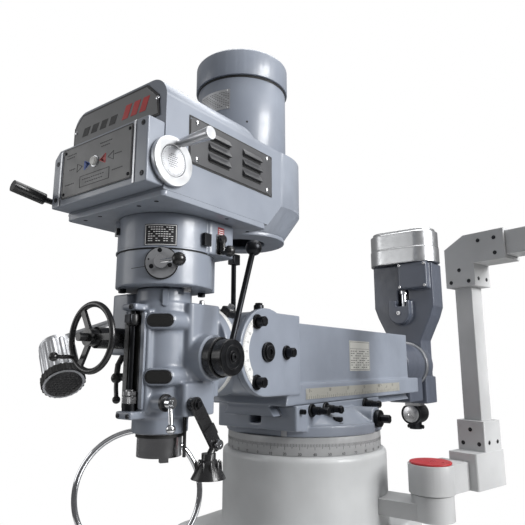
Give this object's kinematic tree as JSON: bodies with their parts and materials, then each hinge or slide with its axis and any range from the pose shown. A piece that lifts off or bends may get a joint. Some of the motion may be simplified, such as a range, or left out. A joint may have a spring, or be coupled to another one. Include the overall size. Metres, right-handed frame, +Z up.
{
  "type": "turret milling machine",
  "caption": "Floor-standing turret milling machine with a tilting vertical head, sliding ram, rear slotting head, swing-arm control pendant and a knee-type table.",
  "frame": {"origin": "on the floor under the axis that the turret turns about", "axes": "+Z up, +X the operator's right, +Y from the operator to the rear"},
  "size_m": [1.7659, 1.869, 2.181],
  "materials": {
    "cast_blue": "satin",
    "cast_dark_blue": "satin",
    "cast_pale": "satin",
    "pendant_grey": "satin",
    "ground_iron": "ground",
    "steel": "turned",
    "chromed": "polished",
    "alloy": "brushed",
    "black_oxide": "satin",
    "black_plastic": "gloss",
    "plate_grey": "satin",
    "scale_white": "satin",
    "red_plastic": "gloss"
  },
  "bodies": {
    "stand": {"base": "cast_pale", "column": "cast_pale", "turret_ring": "alloy", "column_door": "cast_pale", "pendant_base": "pendant_grey", "knee_screw": "steel"},
    "knee": {"knee": "cast_blue"},
    "knee_crank": {"knee_crank": "black_oxide"},
    "saddle": {"saddle": "cast_blue"},
    "cross_feed": {"cross_feed": "black_oxide"},
    "table": {"table": "ground_iron"},
    "table_feed": {"table_feed": "black_oxide"},
    "turret": {"turret": "cast_blue", "ram_clamps": "black_oxide"},
    "ram_pinion": {"ram_pinion": "black_oxide"},
    "ram": {"ram": "cast_blue", "ram_scale": "scale_white", "tilt_scale": "scale_white", "tilt_bolts": "steel", "slot_knuckle": "cast_dark_blue", "slot_ring": "alloy"},
    "slotting_head": {"slot_body": "cast_dark_blue", "slot_cover": "alloy"},
    "slotting_ram": {"slot_ram": "ground_iron", "slot_tool_head": "black_oxide"},
    "knuckle": {"knuckle": "cast_blue", "knuckle_rod": "black_oxide"},
    "head": {"quill_housing": "cast_blue", "gear_case": "cast_blue", "data_plate": "black_plastic", "selector_plate": "alloy", "housing_base": "cast_blue", "belt_housing": "cast_blue", "name_plate": "plate_grey", "speed_box": "cast_blue", "speed_plate": "plate_grey", "louvre_plates": "plate_grey", "motor_body": "cast_blue", "motor_cover": "cast_blue", "depth_stop": "steel", "depth_scale": "black_oxide"},
    "selector_crank": {"selector_crank": "alloy"},
    "range_lever": {"range_lever": "black_plastic"},
    "speed_crank": {"speed_crank": "alloy"},
    "brake_lever": {"brake_lever": "black_plastic"},
    "quill": {"quill": "steel", "quill_stop": "black_oxide"},
    "spindle": {"spindle": "steel"},
    "feed_lever": {"feed_hub": "black_plastic"},
    "fine_wheel": {"fine_wheel": "black_plastic"},
    "quill_lock": {"quill_lock": "chromed"},
    "guard": {"guard_hoop": "chromed"},
    "led_lamp": {"led_lamp": "alloy"},
    "work_lamp": {"work_lamp": "black_oxide"},
    "pendant": {"pendant_arm": "pendant_grey", "pendant_cap": "red_plastic", "pendant_post": "pendant_grey", "pendant_elbow": "pendant_grey", "pendant_tube": "pendant_grey", "pendant_box": "pendant_grey"}
  },
  "joints": [
    {"name": "turret_swivel", "type": "hinge", "parent": "stand", "child": "turret", "pos_m": [0, 0, 1.2], "axis": [0, 0, 1], "range_deg": [-30, 45]},
    {"name": "ram_travel", "type": "slide", "parent": "turret", "child": "ram", "axis": [0, -1, 0], "range_m": [-0.1, 0.2]},
    {"name": "ram_pinion_turn", "type": "hinge", "parent": "turret", "child": "ram_pinion", "pos_m": [0.1, 0.05, 1.267], "axis": [1, 0, 0], "range_deg": [-300, 600]},
    {"name": "knuckle_tilt", "type": "hinge", "parent": "ram", "child": "knuckle", "pos_m": [0, -0.33, 1.4345], "axis": [1, 0, 0], "range_deg": [-30, 20]},
    {"name": "head_swivel", "type": "hinge", "parent": "knuckle", "child": "head", "pos_m": [0, -0.409, 1.436], "axis": [0, 1, 0], "range_deg": [-45, 45]},
    {"name": "quill_feed", "type": "slide", "parent": "head", "child": "quill", "axis": [0, 0, -1], "range_m": [0, 0.127]},
    {"name": "feed_lever_turn", "type": "hinge", "parent": "head", "child": "feed_lever", "pos_m": [0.1, -0.486, 1.421], "axis": [1, 0, 0], "range_deg": [0, 190]},
    {"name": "spindle_spin", "type": "hinge", "parent": "quill", "child": "spindle", "pos_m": [0, -0.532, 1.27], "axis": [0, 0, 1], "continuous": true},
    {"name": "fine_feed_turn", "type": "hinge", "parent": "head", "child": "fine_wheel", "pos_m": [-0.061, -0.632, 1.459], "axis": [0, -1, 0], "continuous": true},
    {"name": "speed_crank_turn", "type": "hinge", "parent": "head", "child": "speed_crank", "pos_m": [0.14, -0.664, 1.769], "axis": [1, 0, 0], "continuous": true},
    {"name": "brake_swing", "type": "hinge", "parent": "head", "child": "brake_lever", "pos_m": [-0.15, -0.632, 1.736], "axis": [1, 0, 0], "range_deg": [-15, 20]},
    {"name": "range_swing", "type": "hinge", "parent": "head", "child": "range_lever", "pos_m": [0.1, -0.476, 1.666], "axis": [1, 0, 0], "range_deg": [-45, 45]},
    {"name": "selector_turn", "type": "hinge", "parent": "head", "child": "selector_crank", "pos_m": [0.05456, -0.59051, 1.6], "axis": [0.682, -0.7314, 0], "range_deg": [-60, 60]},
    {"name": "quill_lock_turn", "type": "hinge", "parent": "head", "child": "quill_lock", "pos_m": [0.07, -0.576, 1.336], "axis": [1, 0, 0], "range_deg": [-45, 30]},
    {"name": "guard_swing", "type": "hinge", "parent": "head", "child": "guard", "pos_m": [-0.046, -0.474, 1.33], "axis": [0.6691, 0.7431, 0], "range_deg": [0, 30]},
    {"name": "led_lamp_tilt", "type": "hinge", "parent": "head", "child": "led_lamp", "pos_m": [-0.12, -0.52, 1.514], "axis": [1, 0, 0], "range_deg": [-12, 15]},
    {"name": "work_lamp_tilt", "type": "hinge", "parent": "head", "child": "work_lamp", "pos_m": [0.09, -0.53, 1.332], "axis": [1, 0, 0], "range_deg": [-12, 10]},
    {"name": "slotting_swivel", "type": "hinge", "parent": "ram", "child": "slotting_head", "pos_m": [0, 0.764, 1.405], "axis": [0, 1, 0], "range_deg": [-45, 45]},
    {"name": "slotting_stroke", "type": "slide", "parent": "slotting_head", "child": "slotting_ram", "axis": [0, 0, -1], "range_m": [0, 0.08]},
    {"name": "pendant_swing", "type": "hinge", "parent": "stand", "child": "pendant", "pos_m": [0.343, 0.032, 1.106], "axis": [0, 0, 1], "range_deg": [-25, 40]},
    {"name": "knee_lift", "type": "slide", "parent": "stand", "child": "knee", "axis": [0, 0, 1], "range_m": [-0.1, 0.15]},
    {"name": "knee_crank_turn", "type": "hinge", "parent": "knee", "child": "knee_crank", "pos_m": [0.105, -0.772, 0.512], "axis": [0, -1, 0], "range_deg": [-7210, 10810]},
    {"name": "saddle_travel", "type": "slide", "parent": "knee", "child": "saddle", "axis": [0, -1, 0], "range_m": [-0.05, 0.09]},
    {"name": "cross_feed_turn", "type": "hinge", "parent": "knee", "child": "cross_feed", "pos_m": [0, -0.8, 0.617], "axis": [0, -1, 0], "range_deg": [-3610, 6490]},
    {"name": "table_travel", "type": "slide", "parent": "saddle", "child": "table", "axis": [1, 0, 0], "range_m": [-0.25, 0.25]},
    {"name": "table_feed_turn", "type": "hinge", "parent": "table", "child": "table_feed", "pos_m": [0, -0.532, 0.73], "axis": [1, 0, 0], "range_deg": [-18010, 18010]}
  ],
  "couplings": [
    {"joint": "ram_pinion_turn", "follows": "ram_travel", "rad_per_m": 50},
    {"joint": "feed_lever_turn", "follows": "quill_feed", "rad_per_m": 25},
    {"joint": "knee_crank_turn", "follows": "knee_lift", "rad_per_m": 1256.6},
    {"joint": "cross_feed_turn", "follows": "saddle_travel", "rad_per_m": 1256.6},
    {"joint": "table_feed_turn", "follows": "table_travel", "rad_per_m": 1256.6}
  ]
}
